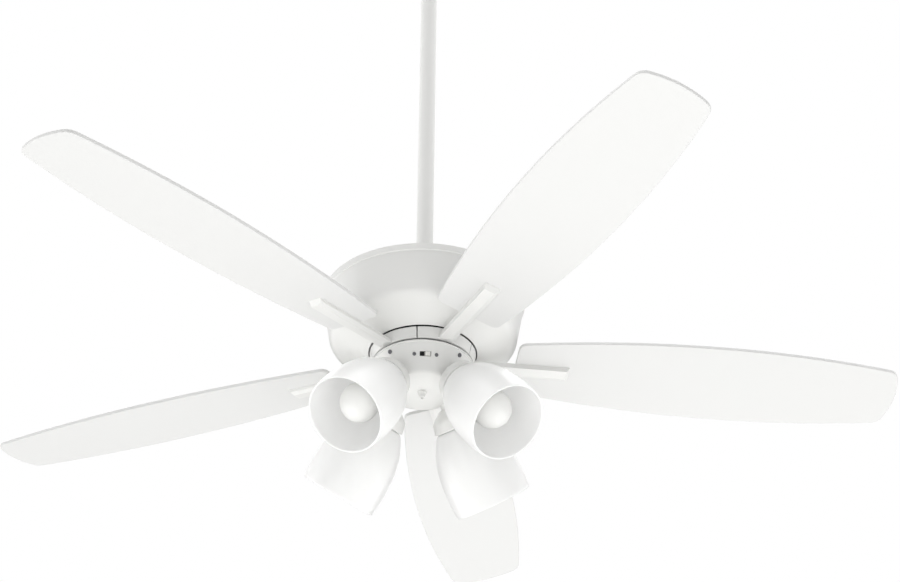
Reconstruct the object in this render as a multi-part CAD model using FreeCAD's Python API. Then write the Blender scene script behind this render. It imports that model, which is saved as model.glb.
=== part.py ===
"""Five-blade ceiling fan with a four-lamp light kit, hung on a downrod.

Millimetres, +Z up, origin at the middle of the face that meets the ceiling.
Everything below the downrod is drawn from the blade plane (z = 0 there) and
is then lowered to its place by hang(); the hanger end is drawn in place.
"""
import FreeCAD, Part
import math
import os

os.makedirs("parts", exist_ok=True)

V = FreeCAD.Vector
O, X, Y, Z = V(0, 0, 0), V(1, 0, 0), V(0, 1, 0), V(0, 0, 1)

# ---------------------------------------------------------------- fits
slip = 0.1              # radial room of a screw, pin or tube in its hole
bearing_fit = 0.05      # radial room of the shaft in a bearing bore
ball_gap = 0.3          # hanger ball in its seat
air_gap = 0.5           # stator to rotor ring
end_play = 0.3          # bearing face to shaft collar
seam = 3.2              # shadow gap under the turning ring of blade arms
segment_gap = 1.8       # between neighbouring arm segments

# ---------------------------------------------------------------- overall
tip_radius = 762.0
rod_length = 914.4
rod_od = 26.7
rod_wall = 2.9

# ---------------------------------------------------------------- ceiling end
plate_half, plate_width, plate_t = 67.0, 44.0, 2.0
box_screw_pitch, box_screw_r, wire_hole_r = 88.9, 2.75, 9.0
ear_drop, ear_width = 20.0, 18.0
ball_r, ball_drop, ball_flat = 25.4, 40.0, 21.0
rod_above_ball = 22.0
seat_wall, seat_below, seat_above = 8.3, 18.0, -3.0
seat_hole_r = 19.5
leg_t, leg_width = 3.0, 28.0
tab_width, tab_reach, groove_depth = 4.0, 3.6, 4.4
cross_pin_r = 3.0
canopy_r, canopy_drop, canopy_hole_r, canopy_wall = 71.0, 65.0, 29.0, 1.2
canopy_gap = 0.3        # canopy lip to ceiling

# ---------------------------------------------------------------- motor and housing
shaft_r, shaft_bore_r = 8.5, 5.0
shaft_below = 28.0
ring_top = 10.2         # top of the arm ring over the blade plane
flywheel_t, flywheel_r = 9.8, 74.0
motor_r, shell_t, core_h, shell_depth = 98.0, 3.0, 28.0, 20.0
core_ring_t = 26.0
bearing_r, bearing_h = 20.0, 12.0
slot_count, slot_width, slot_in, slot_out = 16, 7.0, 34.0, 64.0
winding_h, winding_gap = 10.0, 0.3
motor_bolt_circle, motor_bolt_r = 88.0, 2.0
hanger_plate_r, hanger_plate_t, motor_headroom = 40.0, 6.0, 4.4
cover_wall, cover_flat_r, cover_fall = 1.6, 64.0, 6.4
yoke_flange_r, yoke_flange_t, yoke_r, yoke_h = 34.0, 6.0, 20.0, 52.0
yoke_web, yoke_wire_r = 1.0, 6.0
shaft_grip = 12.0       # shaft screwed into the yoke
clevis_r, clevis_h, set_screw_h = 4.0, 27.0, 11.0
set_screw_r = 3.0
yoke_bolt_circle, yoke_bolt_r = 27.0, 2.5
bell_r, bell_h = 62.0, 98.0

bowl_wall = 1.6
bowl_mouth_r, bowl_mouth_z = 84.9, 11.4
bowl_corner_r, bowl_corner_z, bowl_corner_round = 146.0, 31.6, 16.0
bowl_rim_r, bowl_rim_z = 157.4, 100.4
band_h, band_out = 11.0, 1.8
ledge_depth, ledge_width, ledge_t = 9.0, 16.0, 2.0
housing_screw_r = 2.0

# ---------------------------------------------------------------- blades and arms
blade_count = 5
rotor_angle = 5.4       # azimuth of the first blade at rest
blade_root_r, blade_root_w = 145.3, 105.4
blade_wide_at, blade_max_w = 472.0, 161.2
blade_tip_w, tip_bulge = 116.8, 11.4
blade_t, blade_edge = 6.0, 1.2
tip_round, root_round = 20.0, 12.0
pitch, rise = 11.4, 1.4
ring_r_top, ring_r_low, ring_bottom = 83.0, 79.0, -7.6
ring_wall, web_t, web_in_r = 3.2, 4.0, 48.0
ring_shift = 2.5        # arm segments sit this far round from the middle of their arm, degrees
bar_w, bar_t, bar_end, bar_bevel, bar_slant = 25.0, 8.0, 231.0, 6.5, 6.0
bar_ramp, bar_skin = 16.0, 1.8      # run up to the ring; metal left under the blind screw holes
arm_screw_r, arm_screw_circle, arm_screw_spread = 2.1, 62.0, 14.0
blade_screw_r, blade_screw_first, blade_screw_pitch = 2.1, 166.0, 25.0

# ---------------------------------------------------------------- light kit
cup_wall = 1.2
cup_rim_band, cup_rim_out = 2.8, 2.0
cup_top_r, cup_bottom_r, cup_bottom_z, cup_round = 76.8, 57.0, -57.0, 7.0
fitter_t, fitter_skirt, fitter_drop = 2.0, 6.0, 1.4
nut_r, nut_t = 13.0, 6.0
cup_screw_r, cup_screw_drop, cup_screw_angle = 2.2, 6.0, 46.0
finial_r, finial_h, finial_hole_r, stud_r = 7.0, 11.5, 2.2, 5.0

lamp_count = 4
lamp_tilt = 48.6        # below horizontal
lamp_rho, lamp_z = 172.0, -178.5
glass_wall = 3.0
glass_len, glass_mouth_r, glass_belly_r, glass_shoulder_r, glass_back_r = 131.5, 61.5, 63.2, 54.5, 38.0
glass_belly_at, glass_shoulder_at = 45.0, 98.0
glass_hole_r = 20.0
cap_len, cap_back_r, cap_mid_r, cap_rim_r, cap_wall = 32.5, 16.5, 34.5, 38.5, 1.6
boss_r, boss_len = 12.5, 14.0
socket_r, socket_bore_r, socket_front, socket_neck_r = 19.0, 13.7, 98.0, 12.0
socket_back = 146.0
bulb_r, bulb_centre, bulb_base_r, bulb_tip, bulb_neck_r = 30.0, 48.0, 13.2, 126.0, 14.5
nipple_nut_r, nipple_nut_t = 9.0, 5.0
glass_ring_r, glass_ring_t = 27.0, 4.0

switch_z = -31.0
slot_w, slot_h = 17.4, 7.4
knob_w, knob_h, knob_out, knob_end_gap = 7.6, 6.2, 2.4, 1.3
switch_plate_half, switch_box_half, switch_box_h, switch_box_deep = 20.0, 12.0, 11.0, 10.0
switch_plate_t, switch_screw_r, switch_screw_at = 0.8, 1.5, 17.0

# ---------------------------------------------------------------- levels over the blade plane
motor_bottom = ring_top + flywheel_t
core_bottom = motor_bottom + shell_depth
core_top = core_bottom + core_h
motor_top = core_top + shell_depth
lower_bearing_z = motor_bottom + shell_t + 1.0
upper_bearing_z = motor_top - shell_t - 1.0 - bearing_h
hanger_plate_z = motor_top + motor_headroom
yoke_z = hanger_plate_z + hanger_plate_t + cover_wall
yoke_body_z = yoke_z + yoke_flange_t
rod_seat = yoke_z + shaft_grip + yoke_web
cover_rim_z = yoke_z - cover_wall - cover_fall
cup_top_z = ring_bottom - seam
fitter_z = cup_top_z - cup_rim_band - fitter_drop
ball_z = -ball_drop
blade_plane = ball_z + rod_above_ball - rod_length - rod_seat
core_bore = motor_r - core_ring_t
stator_r = core_bore - air_gap

count = 0


# ---------------------------------------------------------------- helpers
def save(name, shape):
    """Write one node as a STEP file, in the object's frame."""
    global count
    count += 1
    shape.exportStep("parts/%s.step" % name)
    print(name, len(shape.Solids), "valid" if shape.isValid() else "INVALID",
          round(shape.Volume / 1000.0, 2), "cm3")


def hang(name, shape):
    """Save a piece that is drawn from the blade plane."""
    low = shape.copy()
    low.translate(V(0, 0, blade_plane))
    save(name, low)


def group(solids):
    return Part.makeCompound(solids)


def cyl(r, z0, z1, x=0.0, y=0.0):
    return Part.makeCylinder(r, z1 - z0, V(x, y, z0), Z)


def tube(r_out, r_in, z0, z1):
    return cyl(r_out, z0, z1).cut(cyl(r_in, z0 - 1, z1 + 1))


def box(x0, x1, y0, y1, z0, z1):
    return Part.makeBox(x1 - x0, y1 - y0, z1 - z0, V(x0, y0, z0))


def turn(shape, angle):
    out = shape.copy()
    out.rotate(O, Z, angle)
    return out


def around(shape, n, start=0.0):
    return [turn(shape, start + 360.0 * k / n) for k in range(n)]


def corner(p, q, s, radius):
    """Tangent points and middle of the arc that rounds q between p and s."""
    ax, ay, bx, by = p[0] - q[0], p[1] - q[1], s[0] - q[0], s[1] - q[1]
    la, lb = math.hypot(ax, ay), math.hypot(bx, by)
    ax, ay, bx, by = ax / la, ay / la, bx / lb, by / lb
    half = math.acos(max(-1.0, min(1.0, ax * bx + ay * by))) / 2.0
    reach = radius / math.tan(half)
    mx, my = ax + bx, ay + by
    lm = math.hypot(mx, my)
    mid = radius / math.sin(half) - radius
    return ((q[0] + ax * reach, q[1] + ay * reach),
            (q[0] + mx / lm * mid, q[1] + my / lm * mid),
            (q[0] + bx * reach, q[1] + by * reach))


def loop(points, up):
    """Closed face from (a, b) or (a, b, corner radius) points; up lifts them to 3-D."""
    edges, ends = [], []
    n = len(points)
    for k in range(n):
        p, q, s = points[k - 1], points[k], points[(k + 1) % n]
        if len(q) > 2 and q[2] > 0:
            a, m, b = corner(p, q, s, q[2])
            edges.append(Part.Arc(up(*a), up(*m), up(*b)).toShape())
            ends.append((a, b))
        else:
            edges.append(None)
            ends.append(((q[0], q[1]), (q[0], q[1])))
    out = []
    for k in range(n):
        if edges[k]:
            out.append(edges[k])
        out.append(Part.makeLine(up(*ends[k][1]), up(*ends[(k + 1) % n][0])))
    return Part.Face(Part.Wire(out))


def turned(points, angle=360.0):
    """Solid of revolution about Z from a closed loop of (r, z[, radius]) points."""
    return loop(points, lambda a, b: V(a, 0, b)).revolve(O, Z, angle)


def inset(points, wall):
    """The open profile moved by wall to its left, corner radii following."""
    segs = []
    for p, q in zip(points, points[1:]):
        dx, dy = q[0] - p[0], q[1] - p[1]
        ln = math.hypot(dx, dy)
        segs.append((p[0] - dy / ln * wall, p[1] + dx / ln * wall, dx / ln, dy / ln, ln))
    out = [(segs[0][0], segs[0][1])]
    for k in range(1, len(segs)):
        ax, ay, ux, uy, _ = segs[k - 1]
        bx, by, vx, vy, _ = segs[k]
        cross = ux * vy - uy * vx
        t = ((bx - ax) * vy - (by - ay) * vx) / cross
        radius = points[k][2] if len(points[k]) > 2 else 0.0
        if radius:
            radius = max(radius - wall, 0.3) if cross > 0 else radius + wall
        out.append((ax + ux * t, ay + uy * t, radius))
    x, y, ux, uy, ln = segs[-1]
    out.append((x + ux * ln, y + uy * ln))
    return out


def sheet(points, wall):
    """Thin turned shell whose outer profile runs with the wall on its left."""
    return turned(list(points) + inset(points, wall)[::-1])


def screw(head_r, head_h, shank_r, length):
    """Screw standing on z = 0, head up, shank down, with a turned-in drive."""
    head = turned([(0, 0), (head_r, 0), (head_r, head_h * 0.55), (head_r * 0.7, head_h), (0, head_h)])
    drive = box(-head_r * 0.6, head_r * 0.6, -0.4, 0.4, head_h * 0.55, head_h + 1)
    drive = drive.fuse(turn(drive, 90))
    return head.fuse(cyl(shank_r, -length, 0)).removeSplitter().cut(drive)


def hex_nut(r, t, hole_r, z0):
    """Hexagon nut of corner radius r, its lower face at z0."""
    points = [V(r * math.cos(math.radians(60 * k)), r * math.sin(math.radians(60 * k)), z0) for k in range(7)]
    return Part.Face(Part.makePolygon(points)).extrude(V(0, 0, t)).cut(cyl(hole_r, z0 - 1, z0 + t + 1))


def stand(shape, r, z, normal, azimuth):
    """Put a piece that is drawn along +Z on the surface point (r, z) with that outward normal."""
    out = shape.copy()
    out.rotate(O, Y, normal)
    out.translate(V(r, 0, z))
    return turn(out, azimuth)


# ---------------------------------------------------------------- ceiling end
def ceiling_bracket():
    """Pressed hanger bracket: ceiling plate, canopy ears, two legs and the open ball seat."""
    seat_r = ball_r + seat_wall
    seat_bottom, seat_top = ball_z - seat_below, ball_z + seat_above
    plate = box(-plate_half, plate_half, -plate_width / 2, plate_width / 2, -plate_t, 0)
    for side in (-1, 1):
        ear = box(plate_half - plate_t, plate_half, -ear_width / 2, ear_width / 2, -plate_t - ear_drop, 0)
        leg = box(seat_r - leg_t, seat_r, -leg_width / 2, leg_width / 2, seat_bottom, -plate_t)
        if side < 0:
            ear, leg = turn(ear, 180), turn(leg, 180)
        plate = plate.fuse(ear).fuse(leg)
    bracket = plate.fuse(cyl(seat_r, seat_bottom, seat_top))
    cavity = Part.makeSphere(ball_r + ball_gap, V(0, 0, ball_z))
    entry = rod_od / 2 + ball_gap * 3
    bracket = bracket.cut(cavity).cut(cyl(seat_hole_r, seat_bottom - 1, ball_z))
    bracket = bracket.cut(box(-entry, entry, -seat_r - 1, 0, seat_bottom - 1, seat_top + 1))
    tab = box(-tab_width / 2, tab_width / 2, ball_r - tab_reach, seat_r - 2,
              ball_z - 8.0, seat_top)
    bracket = bracket.fuse(tab).removeSplitter()
    bracket = bracket.common(cyl(plate_half + 1, seat_bottom - 1, 0)).cut(cyl(wire_hole_r, -plate_t - 1, 1))
    for side in (-1, 1):
        bracket = bracket.cut(cyl(box_screw_r, -plate_t - 1, 1, side * box_screw_pitch / 2))
    hole = Part.makeCylinder(2.0 + slip, 2 * plate_half + 20, V(-plate_half - 10, 0, canopy_screw_z()), X)
    save("hanger_bracket", bracket.cut(hole))


def canopy_screw_z():
    return -plate_t - ear_drop / 2


def canopy():
    """Spun steel canopy that hides the bracket, and its two side screws."""
    profile = [(canopy_hole_r, -canopy_drop), (canopy_r * 0.58, -canopy_drop, 14.0),
               (canopy_r, -canopy_drop * 0.46, 24.0), (canopy_r, -canopy_gap)]
    shell = sheet(profile, canopy_wall)
    reach = Part.makeCylinder(2.0 + slip, 400, V(-200, 0, canopy_screw_z()), X)
    save("canopy", shell.cut(reach))
    one = screw(4.0, 2.6, 2.0, canopy_r - plate_half + plate_t + 3)
    save("canopy_screws", group([stand(one, canopy_r, canopy_screw_z(), 90, a) for a in (0, 180)]))


def hanger_ball():
    """Half-turned hanger ball with its tilt groove, and the pin that locks the rod in it."""
    ball = Part.makeSphere(ball_r, V(0, 0, ball_z)).common(
        box(-40, 40, -40, 40, ball_z - ball_flat, ball_z + ball_flat))
    ball = ball.cut(cyl(rod_od / 2 + slip, ball_z - 40, ball_z + 40))
    wheel = Part.makeCylinder(ball_r + 2, tab_width + 1.0, V(-tab_width / 2 - 0.5, 0, ball_z), X)
    wheel = wheel.cut(Part.makeCylinder(ball_r - groove_depth, tab_width + 3, V(-tab_width / 2 - 1.5, 0, ball_z), X))
    ball = ball.cut(wheel.common(box(-10, 10, 0, 40, ball_z - 40, ball_z + 40)))
    pin = Part.makeCylinder(cross_pin_r, 2 * ball_r - 4, V(-ball_r + 2, 0, ball_z), X)
    bore = Part.makeCylinder(cross_pin_r + slip, 80, V(-40, 0, ball_z), X)
    save("hanger_ball", ball.cut(bore))
    save("ball_cross_pin", pin)


# ---------------------------------------------------------------- downrod and yoke
def downrod():
    """Steel tube, cross-drilled for the ball pin and the clevis pin."""
    rod = tube(rod_od / 2, rod_od / 2 - rod_wall, rod_seat, rod_seat + rod_length)
    top_pin = rod_seat + rod_length - rod_above_ball
    for z, r in ((top_pin, cross_pin_r), (rod_seat + clevis_h, clevis_r)):
        rod = rod.cut(Part.makeCylinder(r + slip, 60, V(-30, 0, z), X))
    hang("downrod", rod)


def motor_yoke():
    """Cast yoke that joins shaft and downrod, with its pin, cotter and screws."""
    rod_bore = rod_od / 2 + slip
    top = yoke_body_z + yoke_h
    body = turned([(0, yoke_z), (yoke_flange_r, yoke_z, 0.8), (yoke_flange_r, yoke_body_z, 1.5),
                   (yoke_r, yoke_body_z, 3.0), (yoke_r, top, 1.5), (0, top)])
    body = body.cut(cyl(shaft_r + slip, yoke_z - 1, yoke_z + shaft_grip))
    body = body.cut(cyl(yoke_wire_r, yoke_z, top)).cut(cyl(rod_bore, rod_seat, top + 1))
    clevis_z, set_z = rod_seat + clevis_h, rod_seat + set_screw_h
    body = body.cut(Part.makeCylinder(clevis_r + slip, 90, V(-45, 0, clevis_z), X))
    body = body.cut(Part.makeCylinder(set_screw_r + slip, 90, V(0, -45, set_z), Y))
    flange_screw = screw(4.4, 3.0, yoke_bolt_r, yoke_flange_t + cover_wall + hanger_plate_t)
    flange_screw.translate(V(yoke_bolt_circle, 0, yoke_body_z))
    for hole in around(cyl(yoke_bolt_r + slip, yoke_z - 1, yoke_body_z + 1, yoke_bolt_circle), 4, 45):
        body = body.cut(hole)
    hang("motor_yoke", body)
    length = 2 * yoke_r + 10
    pin = Part.makeCylinder(clevis_r, length, V(-yoke_r, 0, clevis_z), X)
    pin = pin.fuse(Part.makeCylinder(clevis_r + 2, 3, V(-yoke_r - 3, 0, clevis_z), X))
    cross_x = yoke_r + 4
    pin = pin.cut(cyl(1.3 + slip, clevis_z - 10, clevis_z + 10, cross_x))
    hang("clevis_pin", pin.removeSplitter())
    legs = cyl(1.3, clevis_z - 7, clevis_z + 6, cross_x)
    eye = Part.makeTorus(3.6, 1.3, V(cross_x, 0, clevis_z + 9.4), X)
    hang("cotter_pin", legs.fuse(eye))
    set_len = 9.0
    sets = []
    for side in (1, -1):
        one = Part.makeCylinder(set_screw_r, set_len, V(0, rod_od / 2, set_z), Y)
        one = one.cut(Part.makeCylinder(1.5, 4, V(0, rod_od / 2 + set_len - 3, set_z), Y))
        sets.append(one if side > 0 else turn(one, 180))
    hang("yoke_screws", group(around(flange_screw, 4, 45) + sets))


def coupling_cover():
    """Spun bell that slides on the rod and rests on the housing cover."""
    hole = rod_od / 2 + 0.5
    profile = [(bell_r, yoke_z), (bell_r, yoke_z + bell_h * 0.15, 10.0),
               (hole + 14.0, yoke_z + bell_h * 0.76, 30.0),
               (hole + 2.5, yoke_z + bell_h * 0.9, 6.0), (hole + 2.0, yoke_z + bell_h)]
    hang("coupling_cover", sheet(profile, 1.2))


# ---------------------------------------------------------------- motor housing
def bowl_profile():
    return [(bowl_mouth_r, bowl_mouth_z), (bowl_corner_r, bowl_corner_z, bowl_corner_round),
            (bowl_rim_r, bowl_rim_z, 1.0), (bowl_rim_r + band_out, bowl_rim_z + 1.2, 0.8),
            (bowl_rim_r + band_out + 0.6, bowl_rim_z + band_h)]


def bowl_inner_r(z):
    slope = (bowl_rim_r - bowl_corner_r) / (bowl_rim_z - bowl_corner_z)
    return bowl_corner_r + slope * (z - bowl_corner_z) - bowl_wall * math.hypot(1, slope)


def housing():
    """Drawn steel bowl with inner ledges, the cover that closes it and the screws."""
    bowl = sheet(bowl_profile(), bowl_wall)
    ledge_z = cover_rim_z - ledge_t
    wall_r = bowl_inner_r(ledge_z)
    ledge = box(wall_r - ledge_depth, wall_r + bowl_wall * 0.5, -ledge_width / 2, ledge_width / 2,
                ledge_z, cover_rim_z)
    screw_at = wall_r - ledge_depth / 2 - 0.5
    hole = cyl(housing_screw_r + slip, ledge_z - 9, cover_rim_z + 9, screw_at)
    for angle in (45, 135, 225, 315):
        bowl = bowl.fuse(turn(ledge, angle)).cut(turn(hole, angle))
    hang("housing_bowl", bowl.removeSplitter())

    rim_r = bowl_inner_r(cover_rim_z) - 0.4
    flat_in = wall_r - ledge_depth - 4
    profile = [(shaft_r + slip, yoke_z - cover_wall), (cover_flat_r, yoke_z - cover_wall, 6.0),
               (flat_in, cover_rim_z, 6.0), (rim_r, cover_rim_z)]
    cover = sheet(profile, cover_wall)
    for shape in around(cyl(yoke_bolt_r + slip, yoke_z - 9, yoke_z + 9, yoke_bolt_circle), 4, 45):
        cover = cover.cut(shape)
    for angle in (45, 135, 225, 315):
        cover = cover.cut(turn(hole, angle))
    hang("housing_cover", cover)
    one = screw(4.0, 2.6, housing_screw_r, cover_wall + ledge_t + 3)
    one.translate(V(screw_at, 0, cover_rim_z + cover_wall))
    hang("housing_screws", group(around(one, 4, 45)))


# ---------------------------------------------------------------- motor
def motor_fixed():
    """Hollow shaft with the stator, its windings, the collars and the hanger plate."""
    top = yoke_z + shaft_grip - slip
    hang("motor_shaft", tube(shaft_r, shaft_bore_r, -shaft_below, top))
    plate = tube(hanger_plate_r, shaft_r + slip, hanger_plate_z, hanger_plate_z + hanger_plate_t)
    for hole in around(cyl(yoke_bolt_r + slip, hanger_plate_z - 1, hanger_plate_z + 20, yoke_bolt_circle), 4, 45):
        plate = plate.cut(hole)
    hang("hanger_plate", plate)

    core = tube(stator_r, shaft_r + slip, core_bottom, core_top)
    slot = box(slot_in, slot_out, -slot_width / 2, slot_width / 2, core_bottom - 1, core_top + 1)
    throat = box(slot_out - 1, stator_r + 1, -1.2, 1.2, core_bottom - 1, core_top + 1)
    for cut in around(slot.fuse(throat), slot_count):
        core = core.cut(cut)
    hang("stator_core", core)
    low, high = core_bottom - winding_h, core_top + winding_h
    coil = tube(slot_out - winding_gap, slot_in + winding_gap, low, core_bottom)
    coil = coil.fuse(tube(slot_out - winding_gap, slot_in + winding_gap, core_top, high))
    bar = box(slot_in + 1.5, slot_out - 1.5, -slot_width / 2 + winding_gap, slot_width / 2 - winding_gap,
              core_bottom - 1, core_top + 1)
    hang("stator_windings", coil.multiFuse(around(bar, slot_count)).removeSplitter())

    upper = tube(13.0, shaft_r + slip, upper_bearing_z + bearing_h + end_play, hanger_plate_z)
    lower_top = lower_bearing_z - end_play
    lower = tube(12.0, shaft_r + slip, lower_top - 1.5, lower_top)
    hang("shaft_collars", group([upper, lower]))


def motor_turning():
    """Outer-rotor motor: two shells, the ring between them, bearings, bolts and flywheel."""
    wall = shell_t
    boss_h = bearing_h + 1.0
    hub_r = 16.0
    lower = turned([(hub_r, motor_bottom), (motor_r, motor_bottom, 4.0), (motor_r, core_bottom),
                    (motor_r - wall, core_bottom), (motor_r - wall, motor_bottom + wall, 1.5),
                    (bearing_r + 4, motor_bottom + wall, 1.5), (bearing_r + 4, motor_bottom + wall + boss_h),
                    (bearing_r, motor_bottom + wall + boss_h), (bearing_r, lower_bearing_z),
                    (hub_r, lower_bearing_z)])
    upper = turned([(hub_r, motor_top), (motor_r, motor_top, 4.0), (motor_r, core_top),
                    (motor_r - wall, core_top), (motor_r - wall, motor_top - wall, 1.5),
                    (bearing_r + 4, motor_top - wall, 1.5), (bearing_r + 4, motor_top - wall - boss_h),
                    (bearing_r, motor_top - wall - boss_h), (bearing_r, upper_bearing_z + bearing_h),
                    (hub_r, upper_bearing_z + bearing_h)])
    ring = tube(motor_r, core_bore, core_bottom, core_top)
    bolt_hole = cyl(motor_bolt_r + slip, motor_bottom - 5, motor_top + 5, motor_bolt_circle)
    for hole in around(bolt_hole, 4):
        lower, upper, ring = lower.cut(hole), upper.cut(hole), ring.cut(hole)
    for hole in arm_screw_holes():
        lower = lower.cut(hole)
    hang("rotor_shell_lower", lower)
    hang("rotor_shell_upper", upper)
    hang("rotor_core", ring)
    rings = [tube(bearing_r, shaft_r + bearing_fit, z, z + bearing_h) for z in (lower_bearing_z, upper_bearing_z)]
    hang("bearings", group(rings))
    bolt = cyl(motor_bolt_r, motor_bottom, motor_top + 4, motor_bolt_circle)
    bolt = bolt.fuse(cyl(3.8, motor_bottom - 2.6, motor_bottom, motor_bolt_circle))
    nut = hex_nut(4.2, 3.0, motor_bolt_r - 0.5, motor_top)
    nut.translate(V(motor_bolt_circle, 0, 0))
    hang("motor_bolts", group(around(bolt.fuse(nut).removeSplitter(), 4)))
    flywheel = tube(flywheel_r, hub_r - 2, ring_top, motor_bottom)
    for hole in arm_screw_holes():
        flywheel = flywheel.cut(hole)
    hang("flywheel", flywheel)


# ---------------------------------------------------------------- blade arms and blades
def arm_screw_holes():
    holes = []
    for angle in (-arm_screw_spread, arm_screw_spread):
        hole = cyl(arm_screw_r + slip, -30, motor_bottom + shell_t + 4, arm_screw_circle)
        holes += around(hole, blade_count, rotor_angle + angle)
    return holes


def to_blade(shape):
    """Tilt a piece drawn flat along +X to the blade's pitch and rise."""
    out = shape.copy()
    out.rotate(O, X, -pitch)
    out.rotate(O, Y, -rise)
    return out


def blade_screw_stations():
    return [blade_screw_first + blade_screw_pitch * k for k in range(3)]


def blade_half_width(u):
    end = tip_radius - tip_bulge
    if u < blade_wide_at:
        part, edge = (blade_wide_at - u) / (blade_wide_at - blade_root_r), blade_root_w
    else:
        part, edge = (u - blade_wide_at) / (end - blade_wide_at), blade_tip_w
    return (blade_max_w - (blade_max_w - edge) * part * part) / 2


def blade_shape():
    """Flat blade with bowed sides, a rounded tip and softened edges."""
    end = tip_radius - tip_bulge
    stations = [blade_root_r + (end - blade_root_r) * k / 12.0 for k in range(13)]
    sides = []
    for side in (1, -1):
        curve = Part.BSplineCurve()
        curve.interpolate([V(u, side * blade_half_width(u), 0) for u in stations])
        sides.append(curve.toShape())
    tip_half, root_half = blade_tip_w / 2, blade_root_w / 2
    tip = Part.Arc(V(end, -tip_half, 0), V(tip_radius, 0, 0), V(end, tip_half, 0)).toShape()
    root = Part.makeLine(V(blade_root_r, -root_half, 0), V(blade_root_r, root_half, 0))
    face = Part.Face(Part.Wire(Part.__sortEdges__([sides[0], tip, sides[1], root])))
    blade = face.extrude(V(0, 0, blade_t))
    blade.translate(V(0, 0, -blade_t / 2))
    for radius, at, half in ((tip_round, end, tip_half), (root_round, blade_root_r, root_half)):
        corners = [e for e in blade.Edges if abs(e.CenterOfMass.x - at) < 0.01
                   and abs(abs(e.CenterOfMass.y) - half) < 0.01]
        blade = blade.makeFillet(radius, corners)
    rim = [e for e in blade.Edges if abs(abs(e.CenterOfMass.z) - blade_t / 2) < 0.01]
    blade = blade.makeFillet(blade_edge, rim)
    for u in blade_screw_stations():
        blade = blade.cut(cyl(blade_screw_r + slip, -blade_t, blade_t, u))
    return to_blade(blade)


def arm_shape():
    """Cast arm: a fifth of the ring under the motor and the bar under the blade."""
    lean = (ring_r_top - ring_r_low) / (ring_top - ring_bottom)
    inner = ring_wall * math.hypot(1, lean)
    under_web = ring_top - web_t
    half = 180.0 / blade_count - math.degrees(segment_gap / 2 / ring_r_low)
    ring = turned([(web_in_r, under_web), (ring_r_top - lean * web_t - inner, under_web),
                   (ring_r_low - inner, ring_bottom), (ring_r_low, ring_bottom, 0.6),
                   (ring_r_top, ring_top, 0.6), (web_in_r, ring_top)], 2 * half)
    ring = turn(ring, ring_shift - half)
    top, low = -blade_t / 2, -blade_t / 2 - bar_t
    start = ring_r_low - ring_wall + 0.6
    section = [(-bar_w / 2, top), (-bar_w / 2 + 1.5, low), (bar_w / 2 - bar_bevel, low), (bar_w / 2, low + bar_t * 0.5),
               (bar_w / 2, top)]
    bar = loop(section, lambda a, b: V(start, a, b)).extrude(V(bar_end - start, 0, 0))
    slant = loop([(bar_end - bar_slant, low - 1), (bar_end + 1, low - 1), (bar_end + 1, top + 1)],
                 lambda a, b: V(a, -bar_w, b)).extrude(V(0, 2 * bar_w, 0))
    bar = to_blade(bar.cut(slant))
    deep = low - bar_t
    foot_r = ring_r_low + bar_ramp * (ring_bottom - deep) / (ring_bottom - low)
    bar = bar.cut(turned([(0, deep), (foot_r, deep), (ring_r_low, ring_bottom), (0, ring_bottom)]))
    arm = ring.fuse(bar).removeSplitter()
    for u in blade_screw_stations():
        arm = arm.cut(to_blade(cyl(blade_screw_r + slip, low + bar_skin, 0, u)))
    for angle in (-arm_screw_spread, arm_screw_spread):
        arm = arm.cut(turn(cyl(arm_screw_r + slip, -30, 40, arm_screw_circle), angle))
    return arm


def blades():
    blade, arm = blade_shape(), arm_shape()
    for k in range(blade_count):
        angle = rotor_angle + 360.0 * k / blade_count
        hang("blade_%d" % (k + 1), turn(blade, angle))
        hang("blade_arm_%d" % (k + 1), turn(arm, angle))
    top = screw(4.6, 2.4, blade_screw_r, blade_t + bar_t - bar_skin - 0.5)
    set_one = []
    for u in blade_screw_stations():
        one = top.copy()
        one.translate(V(u, 0, blade_t / 2))
        set_one.append(to_blade(one))
    hang("blade_screws", group([s for shape in set_one for s in around(shape, blade_count, rotor_angle)]))
    web_bottom = ring_top - web_t
    up = screw(4.6, 3.0, arm_screw_r, web_t + flywheel_t + shell_t)
    up.rotate(O, X, 180)
    up.translate(V(arm_screw_circle, 0, web_bottom))
    spots = [s for a in (-arm_screw_spread, arm_screw_spread) for s in around(up, blade_count, rotor_angle + a)]
    hang("arm_screws", group(spots))


# ---------------------------------------------------------------- light kit body
def cup_r(z):
    """Outer radius of the switch cup's tapered wall at height z."""
    top_z = cup_top_z - cup_rim_band
    return cup_bottom_r + (cup_top_r - cup_bottom_r) * (z - cup_bottom_z) / (top_z - cup_bottom_z)


def cup_normal():
    """Turn about Y that stands +Z on the cup's wall."""
    top_z = cup_top_z - cup_rim_band
    return 90.0 + math.degrees(math.atan2(cup_top_r - cup_bottom_r, top_z - cup_bottom_z))


def on_cup(shape, z, azimuth):
    return stand(shape, cup_r(z), z, cup_normal(), azimuth)


def to_lamp(shape, k):
    """Place a lamp piece drawn with its mouth at z = 0, opening towards +Z."""
    out = shape.copy()
    out.rotate(O, Y, 90 + lamp_tilt)
    out.translate(V(lamp_rho, 0, lamp_z))
    return turn(out, 45.0 + 360.0 * k / lamp_count)


def lamp_angles():
    return range(lamp_count)


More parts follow.
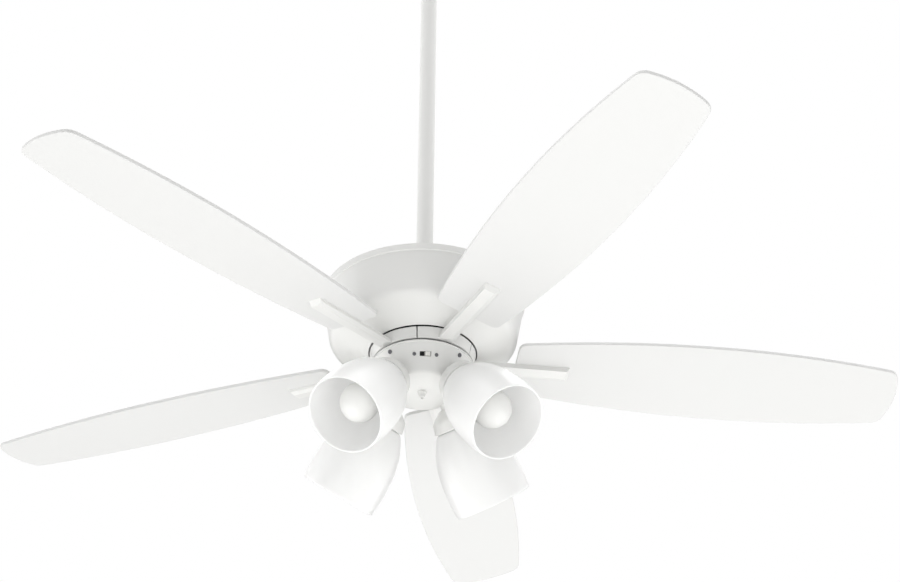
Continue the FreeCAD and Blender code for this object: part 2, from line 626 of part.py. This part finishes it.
def fitter():
    """Plate on the shaft's foot that the switch cup is screwed to, and its two nuts."""
    gap = cup_wall / math.cos(math.radians(cup_normal() - 90)) + 0.3
    top, low = fitter_z, fitter_z - fitter_t
    foot = low - fitter_skirt
    plate = turned([(shaft_r + slip, low), (cup_r(low) - gap - 2.2, low), (cup_r(foot) - gap - 2.2, foot),
                    (cup_r(foot) - gap, foot), (cup_r(top) - gap, top), (shaft_r + slip, top)])
    hole = cyl(cup_screw_r + slip, -12, 6)
    for angle in cup_screw_azimuths():
        plate = plate.cut(on_cup(hole, cup_screw_z(), angle))
    hang("fitter_plate", plate)
    nuts = [hex_nut(nut_r, nut_t, shaft_r + slip, z) for z in (top, low - nut_t)]
    hang("shaft_nuts", group(nuts))


def cup_screw_z():
    return cup_top_z - cup_rim_band - cup_screw_drop


def cup_screw_azimuths():
    return [-90 - cup_screw_angle, -90 + cup_screw_angle, 90 - cup_screw_angle, 90 + cup_screw_angle]


def switch_cup():
    """Tapered cup under the arm ring with four lamp bosses, and what is fixed in it."""
    band_low = cup_top_z - cup_rim_band
    cup = sheet([(stud_r + slip, cup_bottom_z), (cup_bottom_r, cup_bottom_z, cup_round),
                 (cup_top_r, band_low)], cup_wall)
    band = turned([(cup_top_r - cup_wall * 1.1, band_low), (cup_top_r + cup_rim_out, band_low, 0.8),
                   (cup_top_r + cup_rim_out, cup_top_z, 0.8), (cup_top_r - cup_wall * 1.1, cup_top_z)])
    cup = cup.fuse(band)
    back = glass_len + cap_len
    boss = cyl(boss_r, -back - boss_len, -back)
    bore = cyl(stud_r + slip, -back - boss_len - 1, -back + 1)
    for k in lamp_angles():
        cup = cup.fuse(to_lamp(boss, k)).cut(to_lamp(bore, k))
    window = box(-slot_h / 2, slot_h / 2, -slot_w / 2, slot_w / 2, -8, 8)
    cup = cup.cut(on_cup(window, switch_z, -90))
    for angle in cup_screw_azimuths():
        cup = cup.cut(on_cup(cyl(cup_screw_r + slip, -8, 8), cup_screw_z(), angle))
    for side in (-1, 1):
        cup = cup.cut(on_cup(cyl(switch_screw_r + slip, -4, 4), switch_z, -90 + side * switch_screw_angle()))
    hang("switch_cup", cup.removeSplitter())
    side_screw = screw(3.4, 2.2, cup_screw_r, 7.0)
    hang("cup_screws", group([on_cup(side_screw, cup_screw_z(), a) for a in cup_screw_azimuths()]))
    foot = cup_bottom_z
    knob = turned([(0, foot - finial_h), (4.4, foot - finial_h, 1.6), (5.4, foot - 5.0, 1.6),
                   (finial_r, foot - 2.8, 1.0), (finial_r, foot), (stud_r, foot), (stud_r, foot + 11),
                   (0, foot + 11)])
    hang("bottom_finial", knob.cut(cyl(finial_hole_r, foot - finial_h - 1, foot - finial_h + 4)))
    lamp_nut = hex_nut(nipple_nut_r, nipple_nut_t, stud_r + slip, -back - boss_len - nipple_nut_t)
    nuts = [to_lamp(lamp_nut, k) for k in lamp_angles()]
    nuts.append(hex_nut(nipple_nut_r, nipple_nut_t, stud_r + slip, foot + cup_wall))
    hang("stud_nuts", group(nuts))


def switch_screw_angle():
    return math.degrees(math.asin(switch_screw_at / cup_r(switch_z)))


def reversing_switch():
    """Slide switch behind the cup wall; its knob runs sideways in the window."""
    sag = cup_r(switch_z) - math.sqrt(cup_r(switch_z) ** 2 - switch_plate_half ** 2)
    face = -(sag + cup_wall + 0.4)
    back = face - switch_plate_t
    half_h = switch_box_h / 2
    plate = box(-half_h, half_h, -switch_plate_half, switch_plate_half, back, face)
    case = box(-half_h, half_h, -switch_box_half, switch_box_half, back - switch_box_deep, back)
    hollow = box(-half_h + 1.2, half_h - 1.2, -switch_box_half + 1.2, switch_box_half - 1.2,
                 back - switch_box_deep + 1.2, back)
    window = box(-knob_h / 2 - 0.4, knob_h / 2 + 0.4, -slot_w / 2, slot_w / 2, back - 1, face + 1)
    body = on_cup(plate.fuse(case).cut(hollow).cut(window), switch_z, -90)
    one = screw(2.8, 1.8, switch_screw_r, 8.0)
    screws = []
    for side in (-1, 1):
        azimuth = -90 + side * switch_screw_angle()
        body = body.cut(on_cup(cyl(switch_screw_r + slip, -14, 2), switch_z, azimuth))
        screws.append(on_cup(one, switch_z, azimuth))
    hang("reversing_switch", body)
    hang("switch_screws", group(screws))
    at = slot_w / 2 - knob_end_gap - knob_w
    stem = box(-knob_h / 2, knob_h / 2, at, at + knob_w, back - 2.8, knob_out)
    foot = box(-knob_h / 2 - 0.9, knob_h / 2 + 0.9, at - 1.2, at + knob_w + 1.2, back - 2.8, back - 0.6)
    grip = box(-knob_h, knob_h, at + knob_w / 2 - 0.5, at + knob_w / 2 + 0.5, knob_out - 0.6, knob_out + 1)
    hang("reversing_knob", on_cup(stem.fuse(foot).cut(grip), switch_z, -90))


# ---------------------------------------------------------------- lamps
def lamps():
    """Four lamps: metal cap, opal glass shade, ring nut, lampholder and bulb."""
    back = glass_len + cap_len
    glass = sheet([(glass_hole_r, -glass_len), (glass_back_r, -glass_len, 8.0),
                   (glass_shoulder_r, -glass_shoulder_at, 100.0), (glass_belly_r, -glass_belly_at, 200.0),
                   (glass_mouth_r, 0)], glass_wall)
    cap = sheet([(stud_r + slip, -back), (cap_back_r, -back, 6.0), (cap_mid_r, -back + cap_len * 0.45, 9.0),
                 (cap_rim_r, -glass_len, 1.8), (socket_r + 0.4, -glass_len)], cap_wall)
    rear = -back + cap_wall
    holder = turned([(socket_bore_r, -socket_front), (socket_bore_r, -bulb_tip), (3.0, -bulb_tip),
                     (3.0, -back - boss_len - nipple_nut_t - 1), (stud_r, -back - boss_len - nipple_nut_t - 1),
                     (stud_r, rear), (socket_neck_r, rear), (socket_neck_r, -socket_back, 2.0),
                     (socket_r, -socket_back, 2.0), (socket_r, -socket_front, 1.0)])
    ring_back = -glass_len + glass_wall
    ring = turned([(socket_r + slip, ring_back), (glass_ring_r, ring_back, 0.8),
                   (glass_ring_r - 1.5, ring_back + glass_ring_t, 0.8), (socket_r + slip, ring_back + glass_ring_t)])
    bulb = bulb_shape()
    holders, rings = [], []
    for k in lamp_angles():
        hang("shade_%d" % (k + 1), to_lamp(glass, k))
        hang("lamp_cap_%d" % (k + 1), to_lamp(cap, k))
        hang("bulb_%d" % (k + 1), to_lamp(bulb, k))
        holders.append(to_lamp(holder, k))
        rings.append(to_lamp(ring, k))
    hang("lampholders", group(holders))
    hang("shade_rings", group(rings))


def bulb_shape():
    """Frosted bulb: screw base, flaring neck and round globe."""
    neck_z = -socket_front + 2.5
    dx, dz = bulb_neck_r, neck_z + bulb_centre
    far = math.hypot(dx, dz)
    lean = math.atan2(dx, -dz) + math.acos(bulb_r / far)
    tangent = (bulb_r * math.sin(lean), -bulb_centre - bulb_r * math.cos(lean))
    middle = (lean + math.pi) / 2
    mid = (bulb_r * math.sin(middle), -bulb_centre - bulb_r * math.cos(middle))
    outline = [(0, -bulb_tip), (5, -bulb_tip), (bulb_base_r - 1, -bulb_tip + 3), (bulb_base_r, -bulb_tip + 5),
               (bulb_base_r, neck_z - 2.0), (bulb_neck_r, neck_z), tangent]
    points = [V(r, 0, z) for r, z in outline]
    top = V(0, 0, -bulb_centre + bulb_r)
    edges = [Part.makeLine(a, b) for a, b in zip(points, points[1:])]
    edges.append(Part.Arc(points[-1], V(mid[0], 0, mid[1]), top).toShape())
    edges.append(Part.makeLine(top, points[0]))
    return Part.Face(Part.Wire(edges)).revolve(O, Z, 360)


ceiling_bracket()
canopy()
hanger_ball()
downrod()
motor_yoke()
coupling_cover()
housing()
motor_fixed()
motor_turning()
blades()
fitter()
switch_cup()
reversing_switch()
lamps()
print("nodes", count, "blade plane", blade_plane, "knob travel", slot_w - knob_w - 2 * knob_end_gap)
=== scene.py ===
# %% [markdown]
# # A white ceiling fan with four glass lamps
# The CAD model holds every part of the fan at its real size and place. This
# lesson loads it as a fixed frame, gives each part the finish that the real one
# has, and rebuilds the glass and the bulbs as smooth turned shapes, because
# those are the parts that light goes through.

import math

import bpy
from mathutils import Matrix, Vector


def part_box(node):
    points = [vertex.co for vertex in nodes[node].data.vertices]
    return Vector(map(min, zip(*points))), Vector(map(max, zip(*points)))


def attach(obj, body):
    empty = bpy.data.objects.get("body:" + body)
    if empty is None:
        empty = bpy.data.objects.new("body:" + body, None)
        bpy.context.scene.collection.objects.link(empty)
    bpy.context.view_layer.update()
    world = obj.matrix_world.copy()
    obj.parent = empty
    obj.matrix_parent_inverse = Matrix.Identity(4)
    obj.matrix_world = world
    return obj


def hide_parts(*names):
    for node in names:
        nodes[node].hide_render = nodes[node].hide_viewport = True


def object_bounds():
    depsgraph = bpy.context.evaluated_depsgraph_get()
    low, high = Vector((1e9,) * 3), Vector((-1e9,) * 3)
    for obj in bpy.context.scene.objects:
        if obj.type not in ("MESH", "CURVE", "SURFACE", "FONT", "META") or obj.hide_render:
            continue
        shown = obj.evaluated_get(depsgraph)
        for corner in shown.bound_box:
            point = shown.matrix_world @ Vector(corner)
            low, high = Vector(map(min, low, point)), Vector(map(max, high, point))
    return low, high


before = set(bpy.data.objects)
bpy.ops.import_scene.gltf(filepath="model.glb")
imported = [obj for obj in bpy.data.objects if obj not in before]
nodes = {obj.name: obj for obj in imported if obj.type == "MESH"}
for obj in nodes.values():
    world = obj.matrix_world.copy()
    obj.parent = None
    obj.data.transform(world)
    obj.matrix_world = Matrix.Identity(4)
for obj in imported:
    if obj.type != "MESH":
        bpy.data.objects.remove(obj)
cad_low, cad_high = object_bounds()
mm = 0.001

# %% [markdown]
# ## Colours and nodes
# Paint makers give colours as sRGB hex values, and Blender's sockets want
# linear numbers, so one function converts them. A second one adds any shader
# node with its settings and links, which keeps each material short to read.


# %% Colour and node helpers
def tone(code):
    parts = [int(code[i:i + 2], 16) / 255 for i in (1, 3, 5)]
    return tuple([p / 12.92 if p <= 0.04045 else ((p + 0.055) / 1.055) ** 2.4 for p in parts] + [1.0])


def add(tree, kind, settings=(), inputs=()):
    made = tree.nodes.new(kind)
    for key, value in dict(settings).items():
        setattr(made, key, value)
    for key, value in dict(inputs).items():
        if isinstance(value, bpy.types.NodeSocket):
            tree.links.new(value, made.inputs[key])
        else:
            made.inputs[key].default_value = value
    return made


def surface(name, colour, roughness, **sockets):
    """A Principled material; what is the same all over is set on its own sockets."""
    material = bpy.data.materials.new(name)
    material.use_nodes = True
    shader = material.node_tree.nodes["Principled BSDF"]
    shader.inputs["Base Color"].default_value = tone(colour)
    shader.inputs["Roughness"].default_value = roughness
    for key, value in sockets.items():
        shader.inputs[key.replace("_", " ")].default_value = value
    return material


coat_white = "#E8E8E6"
print("white paint in linear numbers:", [round(v, 3) for v in tone(coat_white)])

# %% [markdown]
# ## Texture at a real scale
# Every CAD node keeps its place in its vertices, so Object coordinates are
# metres in the object's own frame. A pattern of a given size in millimetres
# then has a noise scale of one over that size. The function lays a fine bump
# and a slight change of roughness over a surface, as real coatings have both.


# %% Grain helper
def grain(material, size_mm, height_mm, rough_low, rough_high, stretch=1.0, heading=0.0):
    """Noise of the given size; along the heading each fleck is `stretch` times longer."""
    tree = material.node_tree
    shader = tree.nodes["Principled BSDF"]
    place = add(tree, "ShaderNodeTexCoord")
    lay = add(tree, "ShaderNodeMapping", {"vector_type": "TEXTURE"}, {"Vector": place.outputs["Object"],
                                                                      "Rotation": (0, 0, heading),
                                                                      "Scale": (stretch, 1, 1)})
    noise = add(tree, "ShaderNodeTexNoise", {}, {"Vector": lay.outputs["Vector"], "Scale": 1 / (size_mm * mm),
                                                 "Detail": 3.0})
    bump = add(tree, "ShaderNodeBump", {}, {"Height": noise.outputs["Fac"], "Distance": height_mm * mm,
                                            "Strength": 0.6})
    rough = add(tree, "ShaderNodeMapRange", {}, {"Value": noise.outputs["Fac"], "To Min": rough_low,
                                                 "To Max": rough_high})
    tree.links.new(bump.outputs["Normal"], shader.inputs["Normal"])
    tree.links.new(rough.outputs["Result"], shader.inputs["Roughness"])
    return material


# %% [markdown]
# ## White powder coat
# Housing, rod, canopy, arms, cup and lamp caps are steel and castings sprayed
# with white powder and baked. The melt flows out but never quite flat, which
# gives a satin gloss with a faint orange peel. The real peel is about 2 mm
# across; it is drawn at 5 mm, so that it shows at all from across a room.

# %% Powder coat
powder_coat = grain(surface("white_powder_coat", coat_white, 0.32, Coat_Weight=0.25, Coat_Roughness=0.18),
                    5.0, 0.02, 0.27, 0.36)
print(powder_coat.name)

# %% [markdown]
# ## Painted plywood
# The blades are thin plywood, filled, sanded and sprayed satin white. Under
# that paint the face grain is still just there, running along each blade, so
# each blade's grain is turned to that blade's own direction.

# %% Blade paint
fan_centre = (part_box("rotor_core")[0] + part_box("rotor_core")[1]) / 2
blade_paint = {}
for k in range(1, 6):
    low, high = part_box(f"blade_{k}")
    along = (low + high) / 2 - fan_centre
    heading = math.atan2(along.y, along.x)
    paint = surface(f"painted_plywood_{k}", "#DEDEDD", 0.42)
    blade_paint[k] = grain(paint, 9.0, 0.03, 0.38, 0.47, stretch=16.0, heading=heading)
print("blade headings follow", len(blade_paint), "blades")

# %% [markdown]
# ## Metals and plastics inside
# Plated steel, die-cast aluminium, varnished iron, copper wire, rubber, nylon
# and phenolic moulding each keep the colour and gloss that they leave the
# works with. They are mostly hidden, and seen when the model is taken apart.
# The cup and switch screws are steel greyed all over: painted shade that stands
# for the dark recesses in their heads.

# %% Metals and plastics
zinc = grain(surface("zinc_plated_steel", "#B4B9BE", 0.34, Metallic=1.0), 3.0, 0.01, 0.28, 0.42)
cast_metal = grain(surface("die_cast_aluminium", "#B9BABD", 0.5, Metallic=1.0), 1.5, 0.04, 0.42, 0.58)
iron = grain(surface("varnished_iron", "#3A3836", 0.45, Metallic=0.6), 2.0, 0.03, 0.4, 0.55)
copper = grain(surface("enamelled_copper", "#B4672F", 0.3, Metallic=0.9, Coat_Weight=0.6),
               1.2, 0.15, 0.25, 0.38)
rubber = grain(surface("moulded_rubber", "#1D1D1E", 0.75), 1.5, 0.04, 0.68, 0.82)
nylon = grain(surface("black_nylon", "#161617", 0.4), 1.2, 0.02, 0.35, 0.48)
phenolic = grain(surface("white_phenolic", "#ECEBE6", 0.38), 2.0, 0.02, 0.33, 0.45)
# Painted shade: the cup and switch screws are darkened all over to stand for the shade in their head
# recesses.
recess_shade_steel = grain(surface("steel_darkened_as_recess_shade", "#7C7D80", 0.4, Metallic=1.0), 1.5, 0.01, 0.34, 0.5)
nickel = grain(surface("nickel_plated_brass", "#C9C6BE", 0.25, Metallic=1.0), 2.0, 0.01, 0.2, 0.32)
print("inner finishes ready")

# %% [markdown]
# ## Opal glass
# The shades are white opal glass, acid-etched to a silky skin. Light enters
# and scatters, so the wall glows a little where the far side is lit. Random
# walk scattering gives that, with a length longer than the 3 mm wall is thick.
# The glass still came out darker than such a lamp looks in a bright room, so a
# trace of glow is painted into it: painted light that is matched, not physics,
# as the lamps are off. A thin clear coat keeps the soft highlight on the lip.

# %% Glass finishes
# Emission_Strength 0.06 is painted glow: the shades shine a little though the lamps are off.
opal_glass = grain(surface("opal_glass", "#ECECEB", 0.3, Subsurface_Weight=0.9, Subsurface_Scale=0.012,
                           Subsurface_Radius=(1.0, 1.0, 1.0), IOR=1.5, Coat_Weight=0.3, Coat_Roughness=0.12,
                           Emission_Color=(1.0, 1.0, 1.0, 1.0), Emission_Strength=0.06),
                   4.0, 0.01, 0.26, 0.34)
frosted_glass = grain(surface("frosted_bulb_glass", "#F4F4F2", 0.45, IOR=1.45),
                      3.0, 0.01, 0.4, 0.5)
print(opal_glass.name, frosted_glass.name)

# %% [markdown]
# ## Finishes on the CAD parts
# Each CAD part keeps its shape and takes one finish. The list names the metal
# and plastic parts that aren't powder-coated, each blade has its own paint, and
# everything else is coated.

# %% Give each part its finish
finish_of = {
    zinc: ("hanger_bracket", "ball_cross_pin", "clevis_pin", "cotter_pin", "yoke_screws", "housing_screws",
           "hanger_plate", "motor_shaft", "shaft_collars", "fitter_plate", "shaft_nuts", "stud_nuts",
           "bearings", "motor_bolts", "arm_screws", "blade_screws"),
    cast_metal: ("rotor_shell_lower", "rotor_shell_upper"),
    # These screws take the darkened steel, which is painted shade for their recesses.
    recess_shade_steel: ("cup_screws", "switch_screws"),
    iron: ("motor_yoke", "stator_core", "rotor_core"),
    copper: ("stator_windings",),
    rubber: ("flywheel",),
    nylon: ("hanger_ball", "reversing_switch"),
    phenolic: ("lampholders", "shade_rings", "reversing_knob"),
}
chosen = {name: material for material, names in finish_of.items() for name in names}
for k in range(1, 6):
    chosen[f"blade_{k}"] = blade_paint[k]
for name, part in nodes.items():
    part.data.materials.clear()
    part.data.materials.append(chosen.get(name, powder_coat))
print(len(nodes), "parts finished,", sum(1 for n in nodes if n not in chosen), "of them powder-coated")

# %% [markdown]
# ## Where the lamps are
# A lamp's mouth is a circle tilted towards the floor. Its lowest point and its
# furthest point out are faces of the shade's box, so the box gives the circle's
# centre, once its radius and tilt are known. The lamp's own frame has its
# mouth at zero and opens along +Z, as the glass maker would draw it.

# %% Lamp frames
lamp_tilt = math.radians(48.6)
mouth_r = 61.5 * mm


def lamp_frame(k):
    low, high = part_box(f"shade_{k}")
    middle = (low + high) / 2
    side_x, side_y = math.copysign(1, middle.x), math.copysign(1, middle.y)
    level = math.cos(lamp_tilt) / math.sqrt(2)
    axis = Vector((level * side_x, level * side_y, -math.sin(lamp_tilt)))
    spread = mouth_r * math.sqrt(1 - level * level)
    edge_x = high.x if side_x > 0 else low.x
    edge_y = high.y if side_y > 0 else low.y
    centre = Vector((edge_x - side_x * spread, edge_y - side_y * spread,
                     low.z + mouth_r * math.cos(lamp_tilt)))
    across = Vector((0, 0, 1)).cross(axis).normalized()
    up = axis.cross(across)
    return Matrix.Translation(centre) @ Matrix((across, up, axis)).transposed().to_4x4()


lamps = {k: lamp_frame(k) for k in range(1, 5)}
print("lamp 1 mouth at", [round(v, 4) for v in lamps[1].translation])

# %% [markdown]
# ## Turning a profile
# Glass shades are blown in a mould and bulbs are blown in a ring machine, so
# both are round about one axis. The helper turns a list of (radius, depth)
# points, in millimetres, into a mesh with many facets and smooth shading. The
# profile is first rounded by a Catmull-Rom curve, so a few points do.


# %% Turning helpers
def flowing(points, steps=6):
    """Extra points on a smooth curve through the given ones."""
    out = []
    ends = [points[0], *points, points[-1]]
    for a, b, c, d in zip(ends, ends[1:], ends[2:], ends[3:]):
        for i in range(steps):
            t = i / steps
            out.append(tuple(0.5 * (2 * q + (r - p) * t + (2 * p - 5 * q + 4 * r - s) * t * t
                                    + (3 * q - p - 3 * r + s) * t ** 3) for p, q, r, s in zip(a, b, c, d)))
    return out + [points[-1]]


def turned(name, profile, place, material, closed, sides=96):
    verts, faces = [], []
    for radius, height in profile:
        for i in range(sides):
            a = 2 * math.pi * i / sides
            verts.append((radius * mm * math.cos(a), radius * mm * math.sin(a), height * mm))
    rows = len(profile)
    for row in range(rows if closed else rows - 1):
        lower, upper = row * sides, ((row + 1) % rows) * sides
        for i in range(sides):
            j = (i + 1) % sides
            faces.append((lower + i, lower + j, upper + j, upper + i))
    mesh = bpy.data.meshes.new(name)
    mesh.from_pydata(verts, [], faces)
    mesh.transform(place)
    mesh.materials.append(material)
    piece = bpy.data.objects.new(name, mesh)
    bpy.context.scene.collection.objects.link(piece)
    for face in mesh.polygons:
        face.use_smooth = True
    return piece


# %% [markdown]
# ## The shades
# Each shade is a bell, 3 mm thick: widest a little behind the mouth, a round
# shoulder, and a flat back with a hole that the lampholder goes through. The
# lip is fire-polished, so its edge is round.

# %% Glass shades
outside = flowing([(24, -131.4), (33, -131.0), (39.0, -126.5), (46.5, -113.5), (54.3, -96.0), (60.0, -72.0),
                   (62.6, -45.0), (62.8, -22.0), (61.5, -2.2)])
lip = [(61.0, -0.7), (60.0, 0.0), (59.0, -0.6)]
inside = flowing([(58.5, -2.2), (59.8, -22.0), (59.6, -45.0), (57.0, -71.0), (51.5, -94.5), (44.0, -111.0),
                  (37.0, -123.0), (32.0, -127.6), (24, -128.4)])
hole = [(20.1, -128.4), (20.1, -131.4)]
for k, place in lamps.items():
    shade = turned(f"glass_shade_{k}", outside + lip + inside + hole, place, opal_glass, closed=True)
    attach(shade, "suspension")
    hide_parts(f"shade_{k}")
print("four shades,", len(outside + lip + inside + hole), "points in the profile")

# %% [markdown]
# ## The bulbs
# A household bulb is a frosted globe that flares out of a screw base. The base
# is thin nickelled brass, rolled into a round thread, with a crimped collar.

# %% Bulbs
globe = [(13.4, -98.0), (14.2, -95.0)]
globe += flowing([(14.2, -95.0), (16.5, -88.0), (20.8, -78.0), (25.4, -67.5), (28.7, -58.0), (29.9, -50.0),
                  (29.6, -43.0), (27.4, -35.8), (22.6, -28.4), (15.5, -22.4), (8.0, -19.1), (0.01, -18.0)])
base = [(12.9, -96.5), (13.0, -98.5), (13.2, -100.0)]
for turn in range(4):
    top = -101.5 - 4.0 * turn
    base += [(12.4, top), (12.1, top - 1.0), (12.5, top - 2.0), (13.1, top - 3.0)]
base += [(12.6, -119.0), (9.0, -122.5), (5.0, -124.0), (4.8, -125.6), (0.01, -125.9)]
for k, place in lamps.items():
    bulb = turned(f"bulb_globe_{k}", globe, place, frosted_glass, closed=False)
    cap = turned(f"bulb_base_{k}", base, place, nickel, closed=False)
    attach(bulb, "suspension")
    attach(cap, "suspension")
    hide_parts(f"bulb_{k}")
print("four bulbs")

# %% [markdown]
# ## Floor, light and camera
# The fan hangs, so the floor is far below it and only shows from above. The
# light is a white studio: bright above and below and dimmer round the horizon,
# which is what gives the upright sides of white paint their soft grey turn. Two
# tall panels light the left and right edges, and a low one the lamps.

# %% Floor
floor_mesh = bpy.data.meshes.new("floor")
reach, drop = 40.0, 13.0
depth = cad_low.z - drop
floor_mesh.from_pydata([(-reach, -reach, depth), (reach, -reach, depth), (reach, reach, depth),
                        (-reach, reach, depth)], [], [(0, 1, 2, 3)])
floor_mesh.materials.append(surface("pale_floor", "#FBFBFA", 0.8))
floor = bpy.data.objects.new("floor", floor_mesh)
bpy.context.scene.collection.objects.link(floor)
print("floor at", round(depth, 2), "m")

# %% Studio light
world = bpy.data.worlds.new("white_studio")
bpy.context.scene.world = world
world.use_nodes = True
sky = world.node_tree
sky.nodes.clear()
direction = add(sky, "ShaderNodeTexCoord")
slope = add(sky, "ShaderNodeVectorMath", {"operation": "DOT_PRODUCT"}, {0: direction.outputs["Generated"],
                                                                     1: (0.0, 0.0, 1.0)})
steep = add(sky, "ShaderNodeMath", {"operation": "POWER"}, {0: slope.outputs["Value"], 1: 2.0})
horizon, zenith = 0.2, 2.4
level = add(sky, "ShaderNodeMapRange", {}, {"Value": steep.outputs[0], "To Min": horizon, "To Max": zenith})
light = add(sky, "ShaderNodeBackground", {}, {"Color": (1, 1, 1, 1), "Strength": level.outputs["Result"]})
seen = add(sky, "ShaderNodeBackground", {}, {"Color": (1, 1, 1, 1), "Strength": 1.0})
path = add(sky, "ShaderNodeLightPath")
pick = add(sky, "ShaderNodeMixShader", {}, {0: path.outputs["Is Camera Ray"], 1: light.outputs[0],
                                            2: seen.outputs[0]})
add(sky, "ShaderNodeOutputWorld", {}, {"Surface": pick.outputs[0]})
bpy.context.scene.view_settings.view_transform = "Standard"

hub = Vector((0, 0, (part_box("rotor_core")[0].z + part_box("rotor_core")[1].z) / 2 - 54 * mm))


def panel(name, place, width, height, power):
    """A softbox at a place, in metres, that faces the hub."""
    softbox = bpy.data.lights.new(name, "AREA")
    softbox.shape, softbox.size, softbox.size_y, softbox.energy = "RECTANGLE", width, height, power
    stand = bpy.data.objects.new(name, softbox)
    stand.location = place
    stand.rotation_euler = (hub - stand.location).to_track_quat("-Z", "Y").to_euler()
    bpy.context.scene.collection.objects.link(stand)


panel("left_panel", (-5.8, 1.6, -1.4), 5.0, 6.0, 130)
panel("right_panel", (5.8, 1.6, -1.4), 5.0, 6.0, 92)
panel("low_panel", (0.0, -1.3, -2.1), 1.4, 1.4, 1.8)
print("studio lit")

# %% [markdown]
# ## Camera
# The viewer stands well back and below, looking up at about 32 degrees with a
# long lens, so the blades keep nearly their true lengths.

# %% Camera
camera_data = bpy.data.cameras.new("camera")
camera_data.sensor_width, camera_data.lens = 36.0, 109.07
camera_data.clip_end = 200.0
camera = bpy.data.objects.new("camera", camera_data)
camera.location = hub + Vector((-0.2112, -3.5768, -2.2678))
aim = hub + Vector((0.0412, -0.0024, 0.1310))
roll = math.radians(0.62)
camera.rotation_mode = "QUATERNION"
level_view = (aim - camera.location).to_track_quat("-Z", "Y")
camera.rotation_quaternion = level_view @ Matrix.Rotation(roll, 4, "Z").to_quaternion()
bpy.context.scene.collection.objects.link(camera)
bpy.context.scene.camera = camera
print("camera", [round(v, 3) for v in camera.location])
